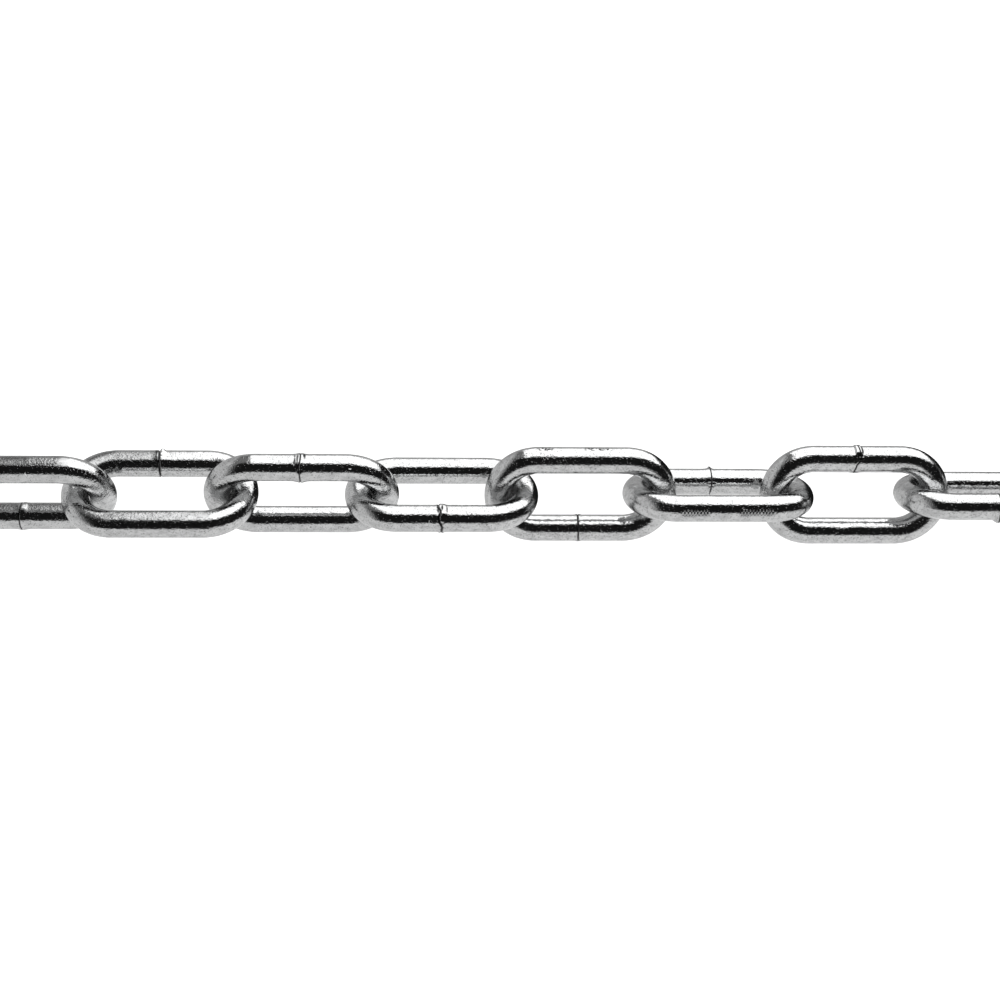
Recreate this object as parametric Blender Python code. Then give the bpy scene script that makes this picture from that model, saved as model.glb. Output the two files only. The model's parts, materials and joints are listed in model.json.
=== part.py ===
"""A straight one-foot length of zinc-plated welded steel chain, lying on level ground.

Metres, +Z up. The chain runs along X. Its links hang in one another crown to crown, each turned
a quarter turn from the last, with a little slack twist along the middle of the run that makes the
odd links stand steeper on its -X side and the even links steeper on its +X side.
"""

import math

import bmesh
import bpy
from mathutils import Matrix, Vector

# driving dimensions of one link
WIRE_DIAMETER = 0.005
INSIDE_LENGTH = 0.027
OUTSIDE_WIDTH = 0.0196
CROWN_GAP = 0.0003
WELD_SWELL = 1.06
WELD_HALF_LENGTH = 0.0008
WELD_FADE_LENGTH = 0.0007

# how the links follow one another
LINK_COUNT = 11
QUARTER_TURN = math.pi / 2
TWIST_MEAN = math.radians(45)
TWIST_HALF_RANGE = math.radians(18.5)
TWIST_SPREAD_LINKS = 1.6
TWIST_MIDDLE_LINK = 6.3
# the links at the run's ends lie slack, nearer to halfway between flat and upright
END_LINK_TWIST = {1: math.radians(30), 2: math.radians(45), LINK_COUNT: math.radians(35)}

# facets
WIRE_SIDES = 16
BOW_STEPS = 15
SHARP_ANGLE = math.radians(40)

# finish
ZINC_COLOUR = (0.62, 0.63, 0.64, 1.0)
ZINC_ROUGHNESS = 0.22

# sizes that follow from the driving dimensions
WIRE_RADIUS = WIRE_DIAMETER / 2
BOW_INSIDE_RADIUS = OUTSIDE_WIDTH / 2 - WIRE_DIAMETER
BOW_RADIUS = OUTSIDE_WIDTH / 2 - WIRE_RADIUS
BOW_CENTRE = INSIDE_LENGTH / 2 - BOW_INSIDE_RADIUS
LINK_PITCH = INSIDE_LENGTH - CROWN_GAP
HINGE_TO_MIDDLE = LINK_PITCH - BOW_CENTRE
MIDDLE_OF_RUN = (LINK_COUNT + 1) / 2
SECTOR = 2 * math.pi / WIRE_SIDES
# corner radius of the polygon that has the round wire's own area
CORNER_RADIUS = WIRE_RADIUS * math.sqrt(SECTOR / math.sin(SECTOR))


def clear_scene():
    for old in list(bpy.data.objects):
        bpy.data.objects.remove(old, do_unlink=True)


def zinc_plated_steel():
    material = bpy.data.materials.new("zinc_plated_steel")
    material.use_nodes = True
    shader = material.node_tree.nodes["Principled BSDF"]
    shader.inputs["Base Color"].default_value = ZINC_COLOUR
    shader.inputs["Metallic"].default_value = 1.0
    shader.inputs["Roughness"].default_value = ZINC_ROUGHNESS
    return material


def bow_stations(centre_x, first_angle):
    """Half a turn clockwise: (middle of the wire, direction away from the link's middle, size)."""
    stations = []
    for step in range(BOW_STEPS + 1):
        angle = first_angle - math.pi * step / BOW_STEPS
        away = Vector((math.cos(angle), math.sin(angle), 0))
        middle = Vector((centre_x, 0, 0)) + BOW_RADIUS * away
        stations.append((middle, away, 1.0))
    return stations


def weld_stations():
    """The butt weld's swell, halfway along the +Y leg, in the order that follows the left bow."""
    outer = WELD_HALF_LENGTH + WELD_FADE_LENGTH
    profile = [
        (-outer, 1.0),
        (-WELD_HALF_LENGTH, WELD_SWELL),
        (WELD_HALF_LENGTH, WELD_SWELL),
        (outer, 1.0),
    ]
    away = Vector((0, 1, 0))
    return [(Vector((x, BOW_RADIUS, 0)), away, size) for x, size in profile]


def add_ring(bm, middle, away, size):
    """One section of the wire, with a flat side towards the link's middle."""
    normal = Vector((0, 0, 1))
    along = away.cross(normal)
    place = Matrix((away, normal, along)).transposed().to_4x4()
    place.translation = middle
    turn = Matrix.Rotation(SECTOR / 2, 4, "Z")
    ring = bmesh.ops.create_circle(
        bm,
        cap_ends=False,
        segments=WIRE_SIDES,
        radius=CORNER_RADIUS * size,
        matrix=place @ turn,
    )
    return ring["verts"]


def link_mesh(material):
    """One link in its own XY plane, with its origin at the centre of the bow that holds it."""
    stations = bow_stations(BOW_CENTRE, math.pi / 2)
    stations += bow_stations(-BOW_CENTRE, -math.pi / 2)
    stations += weld_stations()
    bm = bmesh.new()
    rings = [add_ring(bm, *station) for station in stations]
    for number, ring in enumerate(rings):
        following = rings[(number + 1) % len(rings)]
        for side in range(WIRE_SIDES):
            other = (side + 1) % WIRE_SIDES
            bm.faces.new((ring[side], ring[other], following[other], following[side]))
    bmesh.ops.recalc_face_normals(bm, faces=bm.faces)
    bmesh.ops.translate(bm, verts=bm.verts, vec=(HINGE_TO_MIDDLE, 0, 0))
    mesh = bpy.data.meshes.new("chain_link")
    bm.to_mesh(mesh)
    bm.free()
    mesh.materials.append(material)
    mesh.shade_smooth()
    mesh.set_sharp_from_angle(angle=SHARP_ANGLE)
    return mesh


def twist(number):
    """How steeply an odd link stands at this place in the run."""
    along = (TWIST_MIDDLE_LINK - number) / TWIST_SPREAD_LINKS
    middle_of_run = TWIST_MEAN + TWIST_HALF_RANGE * math.tanh(along)
    return END_LINK_TWIST.get(number, middle_of_run)


def place_links(mesh):
    """Each link lies with its origin on the hinge that it shares with the link before it."""
    links = []
    for number in range(1, LINK_COUNT + 1):
        link = bpy.data.objects.new(f"link_{number:02d}", mesh)
        link.location.x = LINK_PITCH * (number - MIDDLE_OF_RUN) - HINGE_TO_MIDDLE
        link.rotation_euler = (twist(number) + QUARTER_TURN * (number - 1), 0, 0)
        bpy.context.scene.collection.objects.link(link)
        links.append(link)
    return links


def stand_on_ground(links):
    """Lifts the run until its lowest link touches the ground."""
    bpy.context.view_layer.update()
    lowest = min((link.matrix_world @ v.co).z for link in links for v in link.data.vertices)
    for link in links:
        link.location.z -= lowest


clear_scene()
chain = place_links(link_mesh(zinc_plated_steel()))
stand_on_ground(chain)
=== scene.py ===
"""The looks of a straight length of bright zinc-plated welded steel chain."""

import json
import math
from dataclasses import dataclass

import bpy
import numpy as np
from mathutils import Matrix, Vector

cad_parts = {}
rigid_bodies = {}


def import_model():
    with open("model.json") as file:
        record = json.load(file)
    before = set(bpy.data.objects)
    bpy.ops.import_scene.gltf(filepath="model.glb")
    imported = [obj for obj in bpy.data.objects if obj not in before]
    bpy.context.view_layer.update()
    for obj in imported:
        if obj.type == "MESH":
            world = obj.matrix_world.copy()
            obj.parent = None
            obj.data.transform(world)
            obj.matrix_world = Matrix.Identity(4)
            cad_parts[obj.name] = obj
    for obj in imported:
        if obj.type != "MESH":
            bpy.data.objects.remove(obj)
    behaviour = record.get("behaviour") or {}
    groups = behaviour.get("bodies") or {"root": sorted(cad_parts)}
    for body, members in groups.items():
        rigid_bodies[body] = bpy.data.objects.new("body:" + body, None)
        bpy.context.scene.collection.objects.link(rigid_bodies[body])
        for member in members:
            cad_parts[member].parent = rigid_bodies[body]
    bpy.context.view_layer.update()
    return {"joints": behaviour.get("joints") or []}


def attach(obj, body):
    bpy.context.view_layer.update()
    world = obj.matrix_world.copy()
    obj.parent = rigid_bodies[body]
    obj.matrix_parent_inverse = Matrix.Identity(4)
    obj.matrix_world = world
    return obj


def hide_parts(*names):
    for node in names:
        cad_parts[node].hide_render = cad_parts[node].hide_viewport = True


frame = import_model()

MM = 0.001
FULL_TURN = 2 * math.pi
QUARTER_TURN = math.pi / 2
FULL_TURN_DEGREES = 360
HALF_TURN_DEGREES = 180
MATRIX_SIZE = 4
WORLD_UP = Vector((0, 0, 1))

# what each link's mesh keeps for the material, besides its marks
WIRE_MAP = "wire"
SEAM = "seam"
SEAT = "seat"

# one link, in millimetres
WIRE_RADIUS = 2.5
INSIDE_LENGTH = 27.0
OUTSIDE_WIDTH = 19.6
BOW_RADIUS = OUTSIDE_WIDTH / 2 - WIRE_RADIUS
BOW_CENTRE = INSIDE_LENGTH / 2 - (OUTSIDE_WIDTH / 2 - 2 * WIRE_RADIUS)
BOW_LENGTH = math.pi * BOW_RADIUS
LEG_LENGTH = 2 * BOW_CENTRE
WIRE_LENGTH = 2 * (BOW_LENGTH + LEG_LENGTH)

# the zinc coat, which makes the wire as thick as the photo's
COAT = 0.08

# bending the wire presses its inner side out and draws its outer side in
BEND_INSIDE_SWELL = 0.065
BEND_OUTSIDE_DRAW = 0.05
BEND_EASE = 1.2

# where two bows bear on each other, each is worn a little towards the other's curve
SEAT_FILL = 0.06
SEAT_EDGE = (0.5, 0.85)
SEAT_REACH = (1.5, 3.5)

# the last link's place in the slack twist, which no hinge of its own tells
LAST_LINK_TWIST = math.radians(35)

# how closely a link's surface is divided, in millimetres and in places around the wire
AROUND_COUNT = 96
WELD_REACH = 2.6
WELD_FADE_START = 1.9
WELD_STEP = 0.06
WIRE_STEP = 0.3

# how flat the top of a hill is: a round one, and more for a flatter one
ROUND_TOP = 2.0


@dataclass
class Bump:
    """A raised or sunk spot on the weld leg.

    Along is in millimetres from the leg's middle towards +X. Facing is in degrees: 0 looks
    along +Y, 90 up and 180 along -Y.
    """

    along: float
    facing: float
    length: float
    width: float
    height: float
    flatness: float = ROUND_TOP


@dataclass
class Weld:
    """The butt weld of one link: a raised ring, a sunk seam and bumps.

    The seam is a line through pairs of facing and along, which are measured like a bump's.
    """

    seam: tuple = ((0, 0.0), (120, 0.1), (240, -0.1))
    seam_depth: float = 0.12
    seam_width: float = 0.09
    ring_height: float = 0.10
    ring_length: float = 0.5
    bumps: tuple = ()


# the seam's dark stain is wider than its groove
SEAM_STAIN = 1.45
SEAM_STAIN_FLATNESS = 3.0

# the welds that the photo shows, by the links' numbers along the run
WELDS = {
    3: Weld(
        seam=((10, -0.2), (60, -0.32), (100, -0.45), (150, -0.4), (190, -0.22)),
        seam_depth=0.12,
        seam_width=0.11,
        ring_height=0.05,
        bumps=(
            Bump(0.1, 58, 0.6, 0.8, 0.2, 3.0),
            Bump(0.35, 22, 0.5, 0.6, 0.10),
            Bump(-0.2, 185, 0.85, 0.9, 0.14),
        ),
    ),
    4: Weld(
        seam=((10, -0.75), (60, -0.6), (100, -0.5), (190, -0.4)),
        seam_depth=0.18,
        seam_width=0.15,
        ring_height=0.07,
        ring_length=0.8,
        bumps=(
            Bump(-0.02, 34, 0.5, 0.55, 0.46, 3.0),
            Bump(-0.3, 62, 0.45, 0.12, -0.12),
            Bump(-1.1, 30, 0.35, 0.9, -0.04),
            Bump(-0.1, 82, 0.75, 0.8, 0.14),
            Bump(-0.45, 128, 0.14, 0.16, -0.25),
            Bump(-0.43, 149, 0.14, 0.16, -0.25),
        ),
    ),
    5: Weld(
        seam=((10, 0.15), (60, 0.12), (100, -0.12), (150, 0.05), (190, 0.1)),
        seam_depth=0.13,
        seam_width=0.11,
        ring_height=0.2,
        ring_length=0.9,
        bumps=(
            Bump(0.88, 36, 0.16, 1.1, -0.18),
            Bump(-0.5, 60, 0.12, 0.8, -0.08),
            Bump(-1.0, 80, 0.16, 0.5, -0.12),
            Bump(0.0, 116, 0.4, 0.35, -0.08),
            Bump(0.3, 185, 1.1, 0.8, 0.10),
        ),
    ),
    6: Weld(
        seam=((10, -0.7), (45, -0.95), (65, -0.45), (98, -0.7), (118, -0.5), (140, -0.1), (185, -0.3)),
        seam_depth=0.2,
        seam_width=0.17,
        ring_height=0.06,
        bumps=(
            Bump(-0.1, 30, 0.8, 0.9, 0.26, 4.0),
            Bump(0.2, 72, 0.75, 0.9, 0.22, 3.0),
            Bump(-0.9, 62, 0.22, 0.6, -0.14),
            Bump(-0.15, 50, 0.18, 0.6, -0.12),
            Bump(0.8, 58, 0.14, 0.8, -0.1),
            Bump(-0.2, 124, 0.25, 0.3, -0.1),
            Bump(-0.2, 178, 0.6, 0.9, 0.22),
        ),
    ),
    7: Weld(
        seam=((10, -0.2), (60, -0.38), (100, -0.3), (140, -0.3), (185, -0.05)),
        seam_depth=0.16,
        seam_width=0.13,
        ring_height=0.09,
        ring_length=0.45,
        bumps=(
            Bump(-0.42, 12, 0.2, 0.5, 0.12),
            Bump(0.1, 12, 0.22, 0.5, 0.12),
            Bump(-0.3, 55, 0.16, 0.3, -0.12),
            Bump(-0.1, 188, 0.4, 0.5, 0.10),
        ),
    ),
    8: Weld(
        seam=((10, -0.38), (60, -0.4), (110, -0.38), (170, -0.6)),
        seam_depth=0.12,
        seam_width=0.09,
        ring_height=0.04,
        bumps=(
            Bump(-0.42, 8, 0.32, 0.5, 0.52, 1.4),
            Bump(-0.95, 40, 0.75, 1.6, 0.12),
            Bump(-0.4, 106, 0.9, 0.14, -0.06, 4.0),
            Bump(-0.4, 122, 0.6, 0.14, -0.06, 4.0),
            Bump(-0.42, 133, 0.16, 0.16, -0.2),
            Bump(-0.5, 148, 0.16, 0.16, -0.2),
        ),
    ),
    9: Weld(
        seam=((10, -0.3), (60, -0.1), (97, 0.2), (125, -0.6), (180, -1.0)),
        seam_depth=0.13,
        seam_width=0.10,
        ring_height=0.04,
        bumps=(
            Bump(-0.2, 48, 0.66, 1.45, 0.32, 6.0),
            Bump(0.52, 52, 0.16, 1.3, -0.12, 4.0),
            Bump(0.1, 88, 0.5, 0.16, -0.08),
            Bump(-0.4, 178, 0.9, 0.8, 0.17),
        ),
    ),
    10: Weld(
        seam=((10, -0.8), (100, -0.9), (190, -0.8)),
        ring_height=0.08,
        bumps=(Bump(-0.75, 178, 0.75, 0.9, 0.5, 3.0),),
    ),
}


@dataclass
class Mark:
    """A worn place, or a dull place whose darker colour is partly painted shade.

    Start and end are millimetres along the wire from the weld leg's middle, towards +X first.
    Width is the reach to each side of where it faces, in millimetres.
    """

    kind: str
    link: int
    start: float
    end: float
    facing: float
    width: float
    strength: float = 1.0


# the kinds of marks: the dull kind is partly rougher wear and partly painted shade
MARK_KINDS = ("dull_and_painted_shade", "scuffed", "gripped", "pitted", "specked")
MARK_EDGE = 0.5

# the middles of the two bows, in millimetres along the wire, and the scuffs around them
FIRST_BOW_CROWN = LEG_LENGTH / 2 + BOW_LENGTH / 2
SECOND_BOW_CROWN = WIRE_LENGTH - FIRST_BOW_CROWN
CROWN_REACH = 4.5
CROWN_FACING = 90
CROWN_STRENGTH = 0.35
ALL_ROUND = 20.0

MARKS = (
    Mark("gripped", 8, 43.6, 48.8, 121, 0.72),
    Mark("gripped", 8, 31.2, 37.6, 118, 0.72),
    Mark("scuffed", 3, 31.0, 37.0, 58, 0.7, 0.7),
    Mark("scuffed", 4, 45.4, 48.4, 68, 0.6, 0.4),
    Mark("specked", 7, 46.0, 49.2, 42, 0.55),
    Mark("specked", 7, 34.8, 40.0, 42, 0.55),
    Mark("scuffed", 9, 41.6, 43.8, 92, 0.35, 0.5),
    Mark("scuffed", 3, 20.0, 27.0, 110, 1.6, 0.6),
    Mark("pitted", 7, 43.2, 48.0, 96, 0.6),
    # painted shade: these dull marks darken the reflection on the upper side of links 3 and 4's legs,
    # besides roughening it
    Mark("dull_and_painted_shade", 3, 30.0, 50.0, 40, 2.0, 1.2),
    Mark("dull_and_painted_shade", 3, -10.0, 10.0, 40, 2.0, 1.2),
    Mark("dull_and_painted_shade", 4, -16.0, -0.7, 50, 2.2, 1.2),
    Mark("dull_and_painted_shade", 4, 30.0, 54.0, 60, 2.0, 1.1),
)


@dataclass
class Nick:
    """A short cut in the plating.

    On the weld leg, along and facing are measured like a bump's. Elsewhere along is measured
    like a mark's start. Angle is in degrees from the wire's own direction.
    """

    link: int
    along: float
    facing: float
    angle: float
    length: float
    width: float
    on_weld_leg: bool = True


NICKS = (
    Nick(6, -2.94, 121, 130, 1.3, 0.12),
    Nick(5, -4.3, 84, -25, 1.4, 0.13),
    Nick(5, 9.28, 105, 0, 0.3, 0.09),
    Nick(9, 1.37, 84, 28, 0.55, 0.12),
    Nick(3, 36.9, 122, 40, 0.6, 0.12, on_weld_leg=False),
)
NICK_DEPTH = 0.12
NICK_EDGE = 0.1

# how far apart the links lie in the wire map, in millimetres
LINK_MAP_STEP = 100.0


def smooth_step(low, high, value):
    """Eases from nothing at low to one at high."""
    share = np.clip((value - low) / (high - low), 0.0, 1.0)
    return share * share * (3 - 2 * share)


def hill(distance, reach, flatness=ROUND_TOP):
    """One at no distance, falling away at the reach. A high flatness makes a flat top."""
    return np.exp(-((np.abs(distance) / reach) ** flatness))


def hinge_list():
    """The hinges in their order along the run."""
    return sorted(frame["joints"], key=lambda joint: joint["name"])


def link_places():
    """Each link's body, the middle of the link in millimetres and its roll, from the frame."""
    hinges = hinge_list()
    places = []
    for hinge in hinges:
        hinge_x, hinge_y, hinge_z = (value / MM for value in hinge["pos_m"])
        roll = math.atan2(-hinge["axis"][1], hinge["axis"][2])
        places.append((hinge["parent"], (hinge_x - BOW_CENTRE, hinge_y, hinge_z), roll))
    first_x, second_x = (middle[0] for _, middle, _ in places[:2])
    pitch = second_x - first_x
    _, (last_x, last_y, last_z), _ = places[-1]
    last_roll = LAST_LINK_TWIST + QUARTER_TURN * len(hinges)
    places.append((hinges[-1]["child"], (last_x + pitch, last_y, last_z), last_roll))
    return places


def station_lengths():
    """Distances along the wire from the weld leg's middle, closest together at the weld."""
    weld = np.arange(-WELD_REACH, WELD_REACH, WELD_STEP)
    rest_length = WIRE_LENGTH - 2 * WELD_REACH
    rest_count = int(rest_length / WIRE_STEP)
    rest = WELD_REACH + rest_length * np.arange(rest_count) / rest_count
    return np.concatenate([weld, rest])


def wire_line(lengths):
    """Middle of the wire, the way out of the link and the share of bend, in the link's plane.

    The line starts in the middle of the +Y leg and runs towards +X, so the first bow is the +X one.
    """
    half_leg = LEG_LENGTH / 2
    half_line = WIRE_LENGTH / 2
    turned = np.mod(lengths + half_leg, WIRE_LENGTH)
    second_half = turned >= half_line
    part = np.where(second_half, turned - half_line, turned)
    in_bow = part > LEG_LENGTH
    angle = np.where(in_bow, (part - LEG_LENGTH) / BOW_RADIUS, 0.0)
    x = np.where(in_bow, half_leg + BOW_RADIUS * np.sin(angle), part - half_leg)
    y = BOW_RADIUS * np.cos(angle)
    out_x = np.sin(angle)
    out_y = np.cos(angle)
    sign = np.where(second_half, -1.0, 1.0)
    from_leg = np.minimum(part - LEG_LENGTH, half_line - part)
    bend = np.where(in_bow, smooth_step(0.0, BEND_EASE, from_leg), 0.0)
    return sign * x, sign * y, sign * out_x, sign * out_y, bend


def across_distance(facing, middle):
    """Millimetres around the wire from where it faces the middle direction."""
    turn = np.mod(facing - middle + HALF_TURN_DEGREES, FULL_TURN_DEGREES) - HALF_TURN_DEGREES
    return np.radians(turn) * WIRE_RADIUS


def weld_relief(weld, along, facing):
    """Height of the weld over the wire in millimetres, and the share of its dark stain."""
    seam_facing, seam_along = zip(*weld.seam)
    from_seam = along - np.interp(facing, seam_facing, seam_along, period=FULL_TURN_DEGREES)
    relief = weld.ring_height * hill(from_seam, weld.ring_length)
    stain = hill(from_seam, weld.seam_width * SEAM_STAIN, SEAM_STAIN_FLATNESS)
    for bump in weld.bumps:
        length_share = hill(along - bump.along, bump.length, bump.flatness)
        width_share = hill(across_distance(facing, bump.facing), bump.width, bump.flatness)
        relief = relief + bump.height * length_share * width_share
        if bump.height < 0:
            stain = np.maximum(stain, length_share * width_share)
    return relief - weld.seam_depth * hill(from_seam, weld.seam_width), stain


def seat_share(lengths):
    """One at the middle of each bow, and nothing a few millimetres away."""
    turned = np.mod(lengths, WIRE_LENGTH)
    nearest = np.minimum(np.abs(turned - FIRST_BOW_CROWN), np.abs(turned - SECOND_BOW_CROWN))
    return 1 - smooth_step(*SEAT_REACH, nearest)


def plain_radius(bend, seat, outward, upward):
    """The coated wire's radius without its weld: fuller inside a bend and less outside it."""
    inside = np.clip(-outward, 0.0, 1.0) ** 2
    outside = np.clip(outward, 0.0, 1.0) ** 2
    radius = WIRE_RADIUS + COAT + bend[:, None] * BEND_INSIDE_SWELL * inside
    radius = radius - bend[:, None] * BEND_OUTSIDE_DRAW * outside
    return radius + seat * SEAT_FILL * upward**2


def weld_surface(number, x, lengths, facing):
    """Height and stain of one link's weld at every point of the link."""
    at_weld = np.abs(lengths) < WELD_REACH
    fade = 1 - smooth_step(WELD_FADE_START, WELD_REACH, np.abs(lengths[at_weld]))
    weld = WELDS.get(number, Weld())
    weld_height, weld_stain = weld_relief(weld, x[at_weld][:, None], facing[at_weld])
    height = np.zeros(facing.shape)
    height[at_weld] = weld_height * fade[:, None]
    stain = np.zeros(facing.shape)
    stain[at_weld] = weld_stain
    return height, stain


def link_surface(number, roll):
    """The surface of one link in its own plane.

    It gives the points, where they face, the shares of seam and seat, the distances along the
    wire and the angles around it.
    """
    lengths = station_lengths()
    x, y, out_x, out_y, bend = wire_line(lengths)
    around = FULL_TURN * np.arange(AROUND_COUNT) / AROUND_COUNT
    outward = np.cos(around)[None, :]
    upward = np.sin(around)[None, :]
    way_x = out_x[:, None] * outward
    way_y = out_y[:, None] * outward
    way_z = np.repeat(upward, len(lengths), axis=0)
    facing = np.degrees(np.arctan2(way_z, way_y) + roll)
    seat = seat_share(lengths)[:, None] * smooth_step(*SEAT_EDGE, -outward)
    height, seam = weld_surface(number, x, lengths, facing)
    radius = plain_radius(bend, seat, outward, upward) + height
    points = np.stack(
        [x[:, None] + way_x * radius, y[:, None] + way_y * radius, way_z * radius], axis=-1
    )
    return points, facing, {SEAM: seam, SEAT: seat}, lengths, around


def ring_faces(station_count):
    """Quads between neighbouring stations, closed along the wire and around it."""
    station = np.arange(station_count)[:, None]
    place = np.arange(AROUND_COUNT)[None, :]
    next_station = (station + 1) % station_count
    next_place = (place + 1) % AROUND_COUNT
    corners = [
        station * AROUND_COUNT + place,
        station * AROUND_COUNT + next_place,
        next_station * AROUND_COUNT + next_place,
        next_station * AROUND_COUNT + place,
    ]
    return np.stack([corner.reshape(-1) for corner in corners], axis=1)


def add_wire_map(mesh, number, lengths, around):
    """A UV map in millimetres: along the wire, set apart by link, and around the wire."""
    count = len(lengths)
    along = np.concatenate([lengths, [lengths[0] + WIRE_LENGTH]]) + LINK_MAP_STEP * number
    round_about = np.concatenate([around, [FULL_TURN]]) * WIRE_RADIUS
    first = np.repeat(np.arange(count), AROUND_COUNT)
    place = np.tile(np.arange(AROUND_COUNT), count)
    u = np.stack([along[first], along[first], along[first + 1], along[first + 1]], axis=1)
    v = np.stack(
        [round_about[place], round_about[place + 1], round_about[place + 1], round_about[place]],
        axis=1,
    )
    layer = mesh.uv_layers.new(name=WIRE_MAP)
    layer.data.foreach_set("uv", np.stack([u, v], axis=-1).astype(np.float32).reshape(-1))


def mark_share(mark, lengths, facing):
    """How strongly a mark covers each point of a link."""
    reach = (mark.end - mark.start) / 2
    middle = (mark.start + mark.end) / 2
    from_middle = np.mod(lengths - middle + WIRE_LENGTH / 2, WIRE_LENGTH) - WIRE_LENGTH / 2
    along_share = 1 - smooth_step(reach - MARK_EDGE, reach + MARK_EDGE, np.abs(from_middle))
    across = np.abs(across_distance(facing, mark.facing))
    across_share = 1 - smooth_step(mark.width - MARK_EDGE / 2, mark.width + MARK_EDGE / 2, across)
    return mark.strength * along_share[:, None] * across_share


def crown_marks(number):
    """Every link is scuffed where its bows rub on their neighbours."""
    marks = []
    for crown in (FIRST_BOW_CROWN, SECOND_BOW_CROWN):
        start = crown - CROWN_REACH
        end = crown + CROWN_REACH
        mark = Mark("scuffed", number, start, end, CROWN_FACING, ALL_ROUND, CROWN_STRENGTH)
        marks.append(mark)
    return marks


def add_share(mesh, name, share):
    """Keeps one share for every point of the mesh, which the material reads by its name."""
    layer = mesh.attributes.new(name, "FLOAT", "POINT")
    layer.data.foreach_set("value", share.astype(np.float32).reshape(-1))


def add_wear(mesh, number, lengths, facing):
    """Keeps how strongly each kind of mark covers every point of the link."""
    marks = [mark for mark in MARKS if mark.link == number] + crown_marks(number)
    for kind in MARK_KINDS:
        share = np.zeros(facing.shape)
        for mark in marks:
            if mark.kind == kind:
                share = np.maximum(share, mark_share(mark, lengths, facing))
        add_share(mesh, kind, share)


def add_link(number, body, middle, roll, material):
    """A link of round wire with its weld, its wear and any painted shade, which stands in for the
    plain one.
    """
    points, facing, shares, lengths, around = link_surface(number, roll)
    mesh = bpy.data.meshes.new(f"{body}_bright")
    faces = ring_faces(len(lengths))
    mesh.from_pydata((points.reshape(-1, 3) * MM).tolist(), [], faces.tolist())
    turned = Matrix.Rotation(roll, MATRIX_SIZE, "X")
    mesh.transform(Matrix.Translation(Vector(middle) * MM) @ turned)
    add_wire_map(mesh, number, lengths, around)
    add_wear(mesh, number, lengths, facing)
    for name, share in shares.items():
        add_share(mesh, name, share)
    mesh.materials.append(material)
    mesh.shade_smooth()
    piece = bpy.data.objects.new(f"{body}_bright", mesh)
    bpy.context.scene.collection.objects.link(piece)
    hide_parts(body)
    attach(piece, body)


# how fine a noise goes, in doublings
NO_DETAIL = 0.0
LITTLE_DETAIL = 1.0
PLAIN_DETAIL = 2.0
MORE_DETAIL = 3.0


class Nodes:
    """Short ways to add and join shader nodes."""

    def __init__(self, tree):
        self.tree = tree
        tree.nodes.clear()

    def add(self, kind, **settings):
        node = self.tree.nodes.new(kind)
        for name, value in settings.items():
            setattr(node, name, value)
        return node

    def fill(self, socket, value):
        """Joins a socket to another, or sets its value."""
        if isinstance(value, bpy.types.NodeSocket):
            self.tree.links.new(value, socket)
        else:
            socket.default_value = value

    def math(self, operation, first, second=0.0):
        node = self.add("ShaderNodeMath", operation=operation)
        self.fill(node.inputs[0], first)
        self.fill(node.inputs[1], second)
        return node.outputs[0]

    def product(self, first, *others):
        for other in others:
            first = self.math("MULTIPLY", first, other)
        return first

    def total(self, first, *others):
        for other in others:
            first = self.math("ADD", first, other)
        return first

    def vector(self, operation, first, second):
        node = self.add("ShaderNodeVectorMath", operation=operation)
        self.fill(node.inputs[0], first)
        self.fill(node.inputs[1], second)
        return node.outputs["Value" if operation == "DOT_PRODUCT" else "Vector"]

    def step(self, value, edge, start=0.0, end=1.0):
        """Eases from start to end as value goes from the edge's first number to its second."""
        node = self.add("ShaderNodeMapRange", interpolation_type="SMOOTHSTEP")
        self.fill(node.inputs["Value"], value)
        low, high = edge
        node.inputs["From Min"].default_value = low
        node.inputs["From Max"].default_value = high
        node.inputs["To Min"].default_value = start
        node.inputs["To Max"].default_value = end
        return node.outputs["Result"]

    def mix(self, share, first, second):
        node = self.add("ShaderNodeMix", data_type="FLOAT")
        self.fill(node.inputs["Factor"], share)
        self.fill(node.inputs["A"], first)
        self.fill(node.inputs["B"], second)
        return node.outputs["Result"]

    def noise(self, place, per_mm, detail=PLAIN_DETAIL):
        node = self.add("ShaderNodeTexNoise")
        self.fill(node.inputs["Vector"], place)
        node.inputs["Scale"].default_value = per_mm
        node.inputs["Detail"].default_value = detail
        return node.outputs[0]

    def attribute(self, name):
        return self.add("ShaderNodeAttribute", attribute_name=name).outputs["Fac"]


# the plating where nothing marks it
ZINC_REFLECTION = 0.65
ZINC_TINT = (0.992, 0.998, 1.0)
ROUGHNESS = 0.05

# the drawn wire's surface is longer along the run than across it
DRAWN_STRETCH = (0.6, 1.0, 1.0)

# how many of each kind of unevenness come in a millimetre
PEEL_PER_MM = 3.3
GRAIN_PER_MM = 4.2
MOTTLE_PER_MM = 1.0
FLECK_PER_MM = 3.0
PATCH_PER_MM = 0.4
PIT_PER_MM = 3.2
SCUFF_PER_MM = 2.8

# where in its noise each kind begins, and where it is full
MOTTLE_EDGE = (0.3, 0.7)
FLECK_EDGE = (0.56, 0.70)
PATCH_EDGE = (0.35, 0.7)
PIT_EDGE = (0.63, 0.76)
SPECK_EDGE = (0.46, 0.56)

# how much a pitted mark adds to the noise of the pits
PITTED_SHIFT = 0.05

# heights and depths in millimetres
PEEL_HEIGHT = 0.027
GRAIN_HEIGHT = 0.009
PIT_DEPTH = 0.02
SCUFF_HEIGHT = 0.12

# how much each kind darkens the plating, and how much they darken it together at most
DARKENING = {
    "mottle": 0.2,
    "flecks": 0.26,
    "pits": 0.4,
    # painted shade: the dull kind's darkening stands in for a dimmer reflection on links 3 and 4
    "dull_and_painted_shade": 0.2,
    SEAM: 0.9,
    "specks": 0.85,
    "gripped": 0.3,
}
MOST_DARKENING = 0.95

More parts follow.
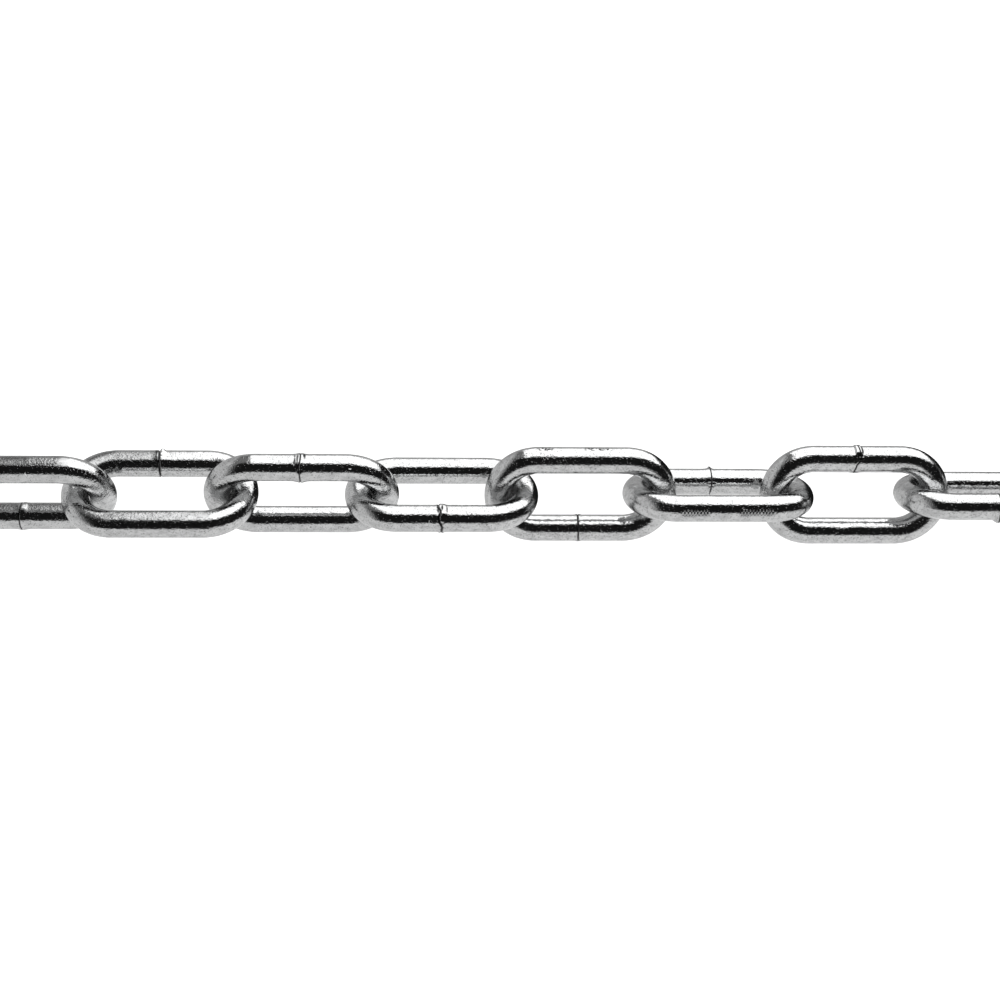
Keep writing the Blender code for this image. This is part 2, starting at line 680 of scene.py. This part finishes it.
# how much each kind roughens it
ROUGHENING = {"patches": 0.05, "pits": 0.15, "dull_and_painted_shade": 0.08, "scuffed": 0.05, "gripped": 0.1}

# how much less metallic a seat is
SEAT_DULLING = 0.45

# the tooth marks of a clamp: their spacing and wander in millimetres, and how steep they are
GRIP_PERIOD = 0.62
GRIP_WANDER = 0.35
GRIP_SLOPE = 0.15


def place_in_mm(nodes):
    """Millimetres in the link's own frame."""
    place = nodes.add("ShaderNodeTexCoord").outputs["Object"]
    return nodes.vector("DIVIDE", place, (MM, MM, MM))


def wire_place(nodes):
    """Millimetres along the wire and around it."""
    mapped = nodes.add("ShaderNodeUVMap", uv_map=WIRE_MAP).outputs["UV"]
    parts = nodes.add("ShaderNodeSeparateXYZ")
    nodes.fill(parts.inputs["Vector"], mapped)
    return parts.outputs["X"], parts.outputs["Y"]


def grip_relief(nodes, place, along, around):
    """The crossed teeth of a clamp's jaws, which slipped a little here and there."""
    half = GRIP_PERIOD / 2
    along = nodes.total(along, nodes.product(nodes.noise(place, MOTTLE_PER_MM), GRIP_WANDER))
    rising = nodes.math("PINGPONG", nodes.math("ADD", along, around), half)
    falling = nodes.math("PINGPONG", nodes.math("SUBTRACT", along, around), half)
    return nodes.product(nodes.total(rising, falling), GRIP_SLOPE)


def nick_share(nodes, nick, roll, along, around):
    """One inside a nick, and nothing outside it."""
    turn = math.radians(nick.facing) - roll
    if not nick.on_weld_leg:
        turn = math.pi - turn
    middle_around = turn % FULL_TURN * WIRE_RADIUS
    from_along = nodes.math("SUBTRACT", along, nick.link * LINK_MAP_STEP + nick.along)
    from_around = nodes.math("SUBTRACT", around, middle_around)
    cosine = math.cos(math.radians(nick.angle))
    sine = math.sin(math.radians(nick.angle))
    lengthwise = nodes.total(nodes.product(from_along, cosine), nodes.product(from_around, sine))
    crosswise = nodes.total(nodes.product(from_around, cosine), nodes.product(from_along, -sine))
    half = nick.length / 2
    in_length = nodes.step(nodes.math("ABSOLUTE", lengthwise), (half + NICK_EDGE, half - NICK_EDGE))
    in_width = nodes.step(nodes.math("ABSOLUTE", crosswise), (nick.width, 0.0))
    return nodes.product(in_length, in_width)


def all_nicks(nodes, rolls, along, around):
    """One inside any nick, and nothing outside them."""
    share = 0.0
    for nick in NICKS:
        own = nick_share(nodes, nick, rolls[nick.link], along, around)
        share = nodes.math("MAXIMUM", share, own)
    return share


def zinc_fields(nodes, place, drawn):
    """How strongly each kind of mark and unevenness shows at a place, by its name."""
    fields = {name: nodes.attribute(name) for name in (*MARK_KINDS, SEAM, SEAT)}
    fields["mottle"] = nodes.step(nodes.noise(drawn, MOTTLE_PER_MM, MORE_DETAIL), MOTTLE_EDGE)
    fields["flecks"] = nodes.step(nodes.noise(place, FLECK_PER_MM, LITTLE_DETAIL), FLECK_EDGE)
    fields["patches"] = nodes.step(nodes.noise(place, PATCH_PER_MM, MORE_DETAIL), PATCH_EDGE)
    pitted_shift = nodes.product(fields["pitted"], PITTED_SHIFT)
    pit_noise = nodes.total(nodes.noise(place, PIT_PER_MM), pitted_shift)
    fields["pits"] = nodes.step(pit_noise, PIT_EDGE)
    speck_share = nodes.step(nodes.noise(drawn, PIT_PER_MM), SPECK_EDGE)
    fields["specks"] = nodes.product(speck_share, fields["specked"])
    return fields


def weighted_total(nodes, start, fields, weights):
    """The start and the named fields, each times its weight, added up."""
    return nodes.total(start, *(nodes.product(fields[name], weights[name]) for name in weights))


def zinc_colour(nodes, fields):
    """What the plating reflects: less where it is mottled, pitted or dirty, and less where a dull mark
    paints shade on it.
    """
    darkening = weighted_total(nodes, 0.0, fields, DARKENING)
    darkening = nodes.math("MINIMUM", darkening, MOST_DARKENING)
    brightness = nodes.product(nodes.math("SUBTRACT", 1.0, darkening), ZINC_REFLECTION)
    colour = nodes.add("ShaderNodeCombineXYZ")
    for socket, share in zip(colour.inputs, ZINC_TINT):
        nodes.fill(socket, nodes.product(brightness, share))
    return colour.outputs["Vector"]


def zinc_relief(nodes, fields, place, drawn, rolls):
    """The plating's height in millimetres: orange peel and grain, pits, scuffs, grips and nicks."""
    along, around = wire_place(nodes)
    peel = nodes.noise(drawn, PEEL_PER_MM, LITTLE_DETAIL)
    grain = nodes.noise(place, GRAIN_PER_MM, NO_DETAIL)
    scuffs = nodes.noise(place, SCUFF_PER_MM)
    teeth = grip_relief(nodes, place, along, around)
    nicks = all_nicks(nodes, rolls, along, around)
    return nodes.total(
        nodes.product(peel, PEEL_HEIGHT),
        nodes.product(grain, GRAIN_HEIGHT),
        nodes.product(fields["pits"], -PIT_DEPTH),
        nodes.product(scuffs, fields["scuffed"], SCUFF_HEIGHT),
        nodes.product(teeth, fields["gripped"]),
        nodes.product(nicks, -NICK_DEPTH),
    )


def zinc_material(rolls):
    """Bright zinc plate: a mirror with fine unevenness, wear and some painted shade."""
    material = bpy.data.materials.new("bright_zinc_plate")
    material.use_nodes = True
    nodes = Nodes(material.node_tree)
    output = nodes.add("ShaderNodeOutputMaterial")
    shader = nodes.add("ShaderNodeBsdfPrincipled")
    nodes.fill(output.inputs["Surface"], shader.outputs["BSDF"])
    place = place_in_mm(nodes)
    drawn = nodes.vector("MULTIPLY", place, DRAWN_STRETCH)
    fields = zinc_fields(nodes, place, drawn)
    worn = nodes.product(fields[SEAT], SEAT_DULLING)
    nodes.fill(shader.inputs["Metallic"], nodes.math("SUBTRACT", 1.0, worn))
    nodes.fill(shader.inputs["Base Color"], zinc_colour(nodes, fields))
    nodes.fill(shader.inputs["Roughness"], weighted_total(nodes, ROUGHNESS, fields, ROUGHENING))
    bump = nodes.add("ShaderNodeBump")
    bump.inputs["Distance"].default_value = MM
    nodes.fill(bump.inputs["Height"], zinc_relief(nodes, fields, place, drawn, rolls))
    nodes.fill(shader.inputs["Normal"], bump.outputs["Normal"])
    return material


# the camera, in millimetres and radians, with its clipping in metres
LENS = 60.0
SENSOR = 36.0
CAMERA_TARGET = (11.17, -1.11)
CAMERA_DISTANCE = 319.9
CAMERA_AZIMUTH = math.radians(19.74)
CAMERA_ELEVATION = math.radians(79.92)
CAMERA_ROLL = 0.3419
CLIP_NEAR = 0.01
CLIP_FAR = 50.0


def camera_axes():
    """The camera's right, up and back directions."""
    back = Vector(
        (
            -math.sin(CAMERA_AZIMUTH) * math.cos(CAMERA_ELEVATION),
            -math.cos(CAMERA_AZIMUTH) * math.cos(CAMERA_ELEVATION),
            math.sin(CAMERA_ELEVATION),
        )
    )
    level_right = (-back).cross(WORLD_UP).normalized()
    level_up = level_right.cross(-back)
    cosine = math.cos(CAMERA_ROLL)
    sine = math.sin(CAMERA_ROLL)
    right = level_right * cosine + level_up * sine
    up = level_up * cosine - level_right * sine
    return right, up, back


def add_camera(axis_height):
    """The photo's camera, which looks down on the run at a slant."""
    right, up, back = camera_axes()
    data = bpy.data.cameras.new("camera")
    data.lens = LENS
    data.sensor_width = SENSOR
    data.clip_start = CLIP_NEAR
    data.clip_end = CLIP_FAR
    camera = bpy.data.objects.new("camera", data)
    bpy.context.scene.collection.objects.link(camera)
    target = Vector((*CAMERA_TARGET, axis_height))
    place = Matrix((right, up, back)).transposed().to_4x4()
    place.translation = (target + back * CAMERA_DISTANCE) * MM
    camera.matrix_world = place
    bpy.context.scene.camera = camera


# the floor, in metres, and its looks
FLOOR_SIZE = 6.0
FLOOR_COLOUR = (0.9, 0.9, 0.9, 1.0)
FLOOR_GLOW = 0.9
WHITE = (1.0, 1.0, 1.0, 1.0)
PANEL_FACE = (0, 1, 2, 3)


def add_panel(name, corners, material):
    """A flat panel with four corners."""
    mesh = bpy.data.meshes.new(name)
    mesh.from_pydata(corners, [], [PANEL_FACE])
    mesh.materials.append(material)
    panel = bpy.data.objects.new(name, mesh)
    bpy.context.scene.collection.objects.link(panel)
    return panel


def floor_material():
    """White without gloss, which glows enough to look overexposed."""
    material = bpy.data.materials.new("pale_floor")
    material.use_nodes = True
    shader = material.node_tree.nodes["Principled BSDF"]
    shader.inputs["Base Color"].default_value = FLOOR_COLOUR
    shader.inputs["Roughness"].default_value = 1.0
    shader.inputs["Specular IOR Level"].default_value = 0.0
    shader.inputs["Emission Color"].default_value = WHITE
    shader.inputs["Emission Strength"].default_value = FLOOR_GLOW
    return material


def add_floor():
    """An overexposed white table, which the chain's gloss doesn't show."""
    half = FLOOR_SIZE / 2
    corners = [(-half, -half, 0), (half, -half, 0), (half, half, 0), (-half, half, 0)]
    floor = add_panel("floor", corners, floor_material())
    floor.visible_glossy = False


# the studio's brightness
ROOM_LIGHT = 0.5
LOW_WALL = 0.80
LOW_WALL_RIGHT = 0.10
MIDDLE_WALL = 0.68
HIGH_WALL = 0.48
DIM_STRIP = 0.21
BEYOND_BOARD = 0.46
DARK = 0.012
BOARD_DIM_END = 1.9
BOARD_BRIGHT_END = 2.1
STREAK = 0.17

# the studio's edges, in degrees to the right of the camera's own direction or above it
WALL_LOW_EDGE = (-60.0, 10.0)
WALL_HIGH_EDGE = (60.0, 120.0)
WALL_RIGHT_EDGE = (-40.0, 60.0)
STRIP_LEFT = (-56.0, -38.0)
STRIP_LOW = (30.0, 50.0)
BEYOND_LOW = (112.0, 124.0)
DARK_LEFT = (-62.0, -30.0)
DARK_LOW = (-48.0, -35.0)
DARK_LOW_RISE = 0.14
DARK_LOW_RISE_END = 50.0
DARK_HIGH = (54.0, 33.0)
RIGHT_DARK_LEFT = (70.0, 88.0)
RIGHT_DARK_LOW = (-32.0, 4.0)
RIGHT_DARK_SLOPE = 0.22
RIGHT_DARK_RIM = (174.0, 158.0)
BOARD_LEFT = (-20.5, -11.0)
BOARD_LEAN = 0.215
BOARD_LEAN_HEIGHT = 50.0
BOARD_RAMP = (-20.0, 26.0)
BOARD_RIGHT = (85.0, 73.0)
BOARD_LOW = (27.0, 40.0)
BOARD_RIM = (128.0, 112.0)
STREAK_SLOPE = 1.1
STREAK_LOW = (108.0, 118.0)
STREAK_HIGH = (136.0, 126.0)
STREAK_LEFT = (80.0, 88.0)
STREAK_TOP = (44.0, 34.0)
LEAST_SIDE = 1e-4

# the white board, in millimetres from the camera's target
BOARD_DISTANCE = 700.0
BOARD_TURN = math.radians(77)
BOARD_SIDES = (-450.0, 1500.0)
BOARD_ENDS = (-1250.0, 950.0)


def studio_place(nodes, direction):
    """Degrees to the right of the camera's own direction, above it and away from it."""
    right, up, back = camera_axes()
    to_back = nodes.vector("DOT_PRODUCT", direction, back)
    away = nodes.product(nodes.math("ARCCOSINE", to_back), math.degrees(1))
    side = nodes.math("SQRT", nodes.math("SUBTRACT", 1.0, nodes.product(to_back, to_back)))
    share = nodes.math("DIVIDE", away, nodes.math("MAXIMUM", side, LEAST_SIDE))
    to_right = nodes.product(nodes.vector("DOT_PRODUCT", direction, right), share)
    above = nodes.product(nodes.vector("DOT_PRODUCT", direction, up), share)
    return to_right, above, away


def wall_light(nodes, x, y):
    """Brightness of the pale walls, with a dim strip and the dimmer wall beyond the board."""
    walls = nodes.step(y, WALL_LOW_EDGE, LOW_WALL, MIDDLE_WALL)
    low_right = nodes.product(
        nodes.step(x, WALL_RIGHT_EDGE), nodes.step(y, WALL_LOW_EDGE, LOW_WALL_RIGHT, 0.0)
    )
    walls = nodes.total(walls, low_right)
    walls = nodes.mix(nodes.step(y, WALL_HIGH_EDGE), walls, HIGH_WALL)
    strip = nodes.product(nodes.step(x, STRIP_LEFT), nodes.step(y, STRIP_LOW))
    walls = nodes.mix(strip, walls, DIM_STRIP)
    return nodes.mix(nodes.step(y, BEYOND_LOW), walls, BEYOND_BOARD)


def dark_share(nodes, x, y, away):
    """The dark room behind the camera, and the dark room to the right of it."""
    rise = nodes.product(
        nodes.math("MINIMUM", nodes.math("ABSOLUTE", x), DARK_LOW_RISE_END), -DARK_LOW_RISE
    )
    low = nodes.step(nodes.total(y, rise), DARK_LOW)
    middle = nodes.product(nodes.step(x, DARK_LEFT), low, nodes.step(y, DARK_HIGH))
    leaned = nodes.total(y, nodes.product(x, RIGHT_DARK_SLOPE))
    right = nodes.product(
        nodes.step(x, RIGHT_DARK_LEFT),
        nodes.step(leaned, RIGHT_DARK_LOW),
        nodes.step(away, RIGHT_DARK_RIM),
    )
    return nodes.math("MAXIMUM", middle, right)


def streak_share(nodes, x, y):
    """A dim slanting streak beyond the board."""
    slope = nodes.total(y, nodes.product(x, STREAK_SLOPE))
    return nodes.product(
        nodes.step(slope, STREAK_LOW),
        nodes.step(slope, STREAK_HIGH),
        nodes.step(x, STREAK_LEFT),
        nodes.step(y, STREAK_TOP),
    )


def studio_light(nodes):
    """Brightness of the studio by direction: a dark room behind the camera, and pale walls."""
    direction = nodes.add("ShaderNodeTexCoord").outputs["Generated"]
    x, y, away = studio_place(nodes, direction)
    light = wall_light(nodes, x, y)
    light = nodes.mix(dark_share(nodes, x, y, away), light, DARK)
    return nodes.mix(streak_share(nodes, x, y), light, STREAK)


def board_material():
    """A white board with soft edges, a little brighter to the right."""
    material = bpy.data.materials.new("white_board")
    material.use_nodes = True
    material.cycles.emission_sampling = "NONE"
    nodes = Nodes(material.node_tree)
    output = nodes.add("ShaderNodeOutputMaterial")
    mixed = nodes.add("ShaderNodeMixShader")
    clear = nodes.add("ShaderNodeBsdfTransparent")
    white = nodes.add("ShaderNodeEmission")
    from_target = nodes.add("ShaderNodeTexCoord").outputs["Object"]
    direction = nodes.vector("NORMALIZE", from_target, from_target)
    x, y, away = studio_place(nodes, direction)
    leaned = nodes.total(x, nodes.product(y, BOARD_LEAN), -BOARD_LEAN * BOARD_LEAN_HEIGHT)
    share = nodes.product(
        nodes.step(leaned, BOARD_LEFT),
        nodes.step(x, BOARD_RIGHT),
        nodes.step(y, BOARD_LOW),
        nodes.step(away, BOARD_RIM),
    )
    strength = nodes.step(x, BOARD_RAMP, BOARD_DIM_END, BOARD_BRIGHT_END)
    nodes.fill(white.inputs["Strength"], strength)
    share_socket, clear_socket, white_socket = mixed.inputs
    nodes.fill(share_socket, share)
    nodes.fill(clear_socket, clear.outputs["BSDF"])
    nodes.fill(white_socket, white.outputs["Emission"])
    nodes.fill(output.inputs["Surface"], mixed.outputs["Shader"])
    return material


def add_board(axis_height):
    """A board that stands beyond the chain and is seen in its gloss alone."""
    right, up, back = camera_axes()
    towards = back * math.cos(BOARD_TURN) + up * math.sin(BOARD_TURN)
    board_up = back * math.sin(BOARD_TURN) - up * math.cos(BOARD_TURN)
    low, high = BOARD_ENDS
    left_side, right_side = BOARD_SIDES
    corners = []
    for side, end in ((left_side, low), (right_side, low), (right_side, high), (left_side, high)):
        corners.append((towards * BOARD_DISTANCE + right * side + board_up * end) * MM)
    board = add_panel("white_board", corners, board_material())
    board.location = Vector((*CAMERA_TARGET, axis_height)) * MM
    board.visible_camera = False
    board.visible_diffuse = False
    board.visible_shadow = False


def add_world():
    """Gloss sees the studio. The floor and the backdrop have a plain soft light all round."""
    world = bpy.data.worlds.new("studio")
    world.use_nodes = True
    nodes = Nodes(world.node_tree)
    output = nodes.add("ShaderNodeOutputWorld")
    background = nodes.add("ShaderNodeBackground")
    nodes.fill(output.inputs["Surface"], background.outputs["Background"])
    rays = nodes.add("ShaderNodeLightPath").outputs
    strength = nodes.mix(rays["Is Diffuse Ray"], studio_light(nodes), ROOM_LIGHT)
    strength = nodes.mix(rays["Is Camera Ray"], strength, 1.0)
    nodes.fill(background.inputs["Strength"], strength)
    background.inputs["Color"].default_value = WHITE
    bpy.context.scene.world = world
    bpy.context.scene.view_settings.view_transform = "Standard"


def main():
    places = link_places()
    _, first_middle, _ = places[0]
    axis_height = first_middle[-1]
    add_camera(axis_height)
    add_floor()
    add_board(axis_height)
    add_world()
    rolls = {number: roll for number, (_, _, roll) in enumerate(places, 1)}
    zinc = zinc_material(rolls)
    for number, (body, middle, roll) in enumerate(places, 1):
        add_link(number, body, middle, roll, zinc)


main()
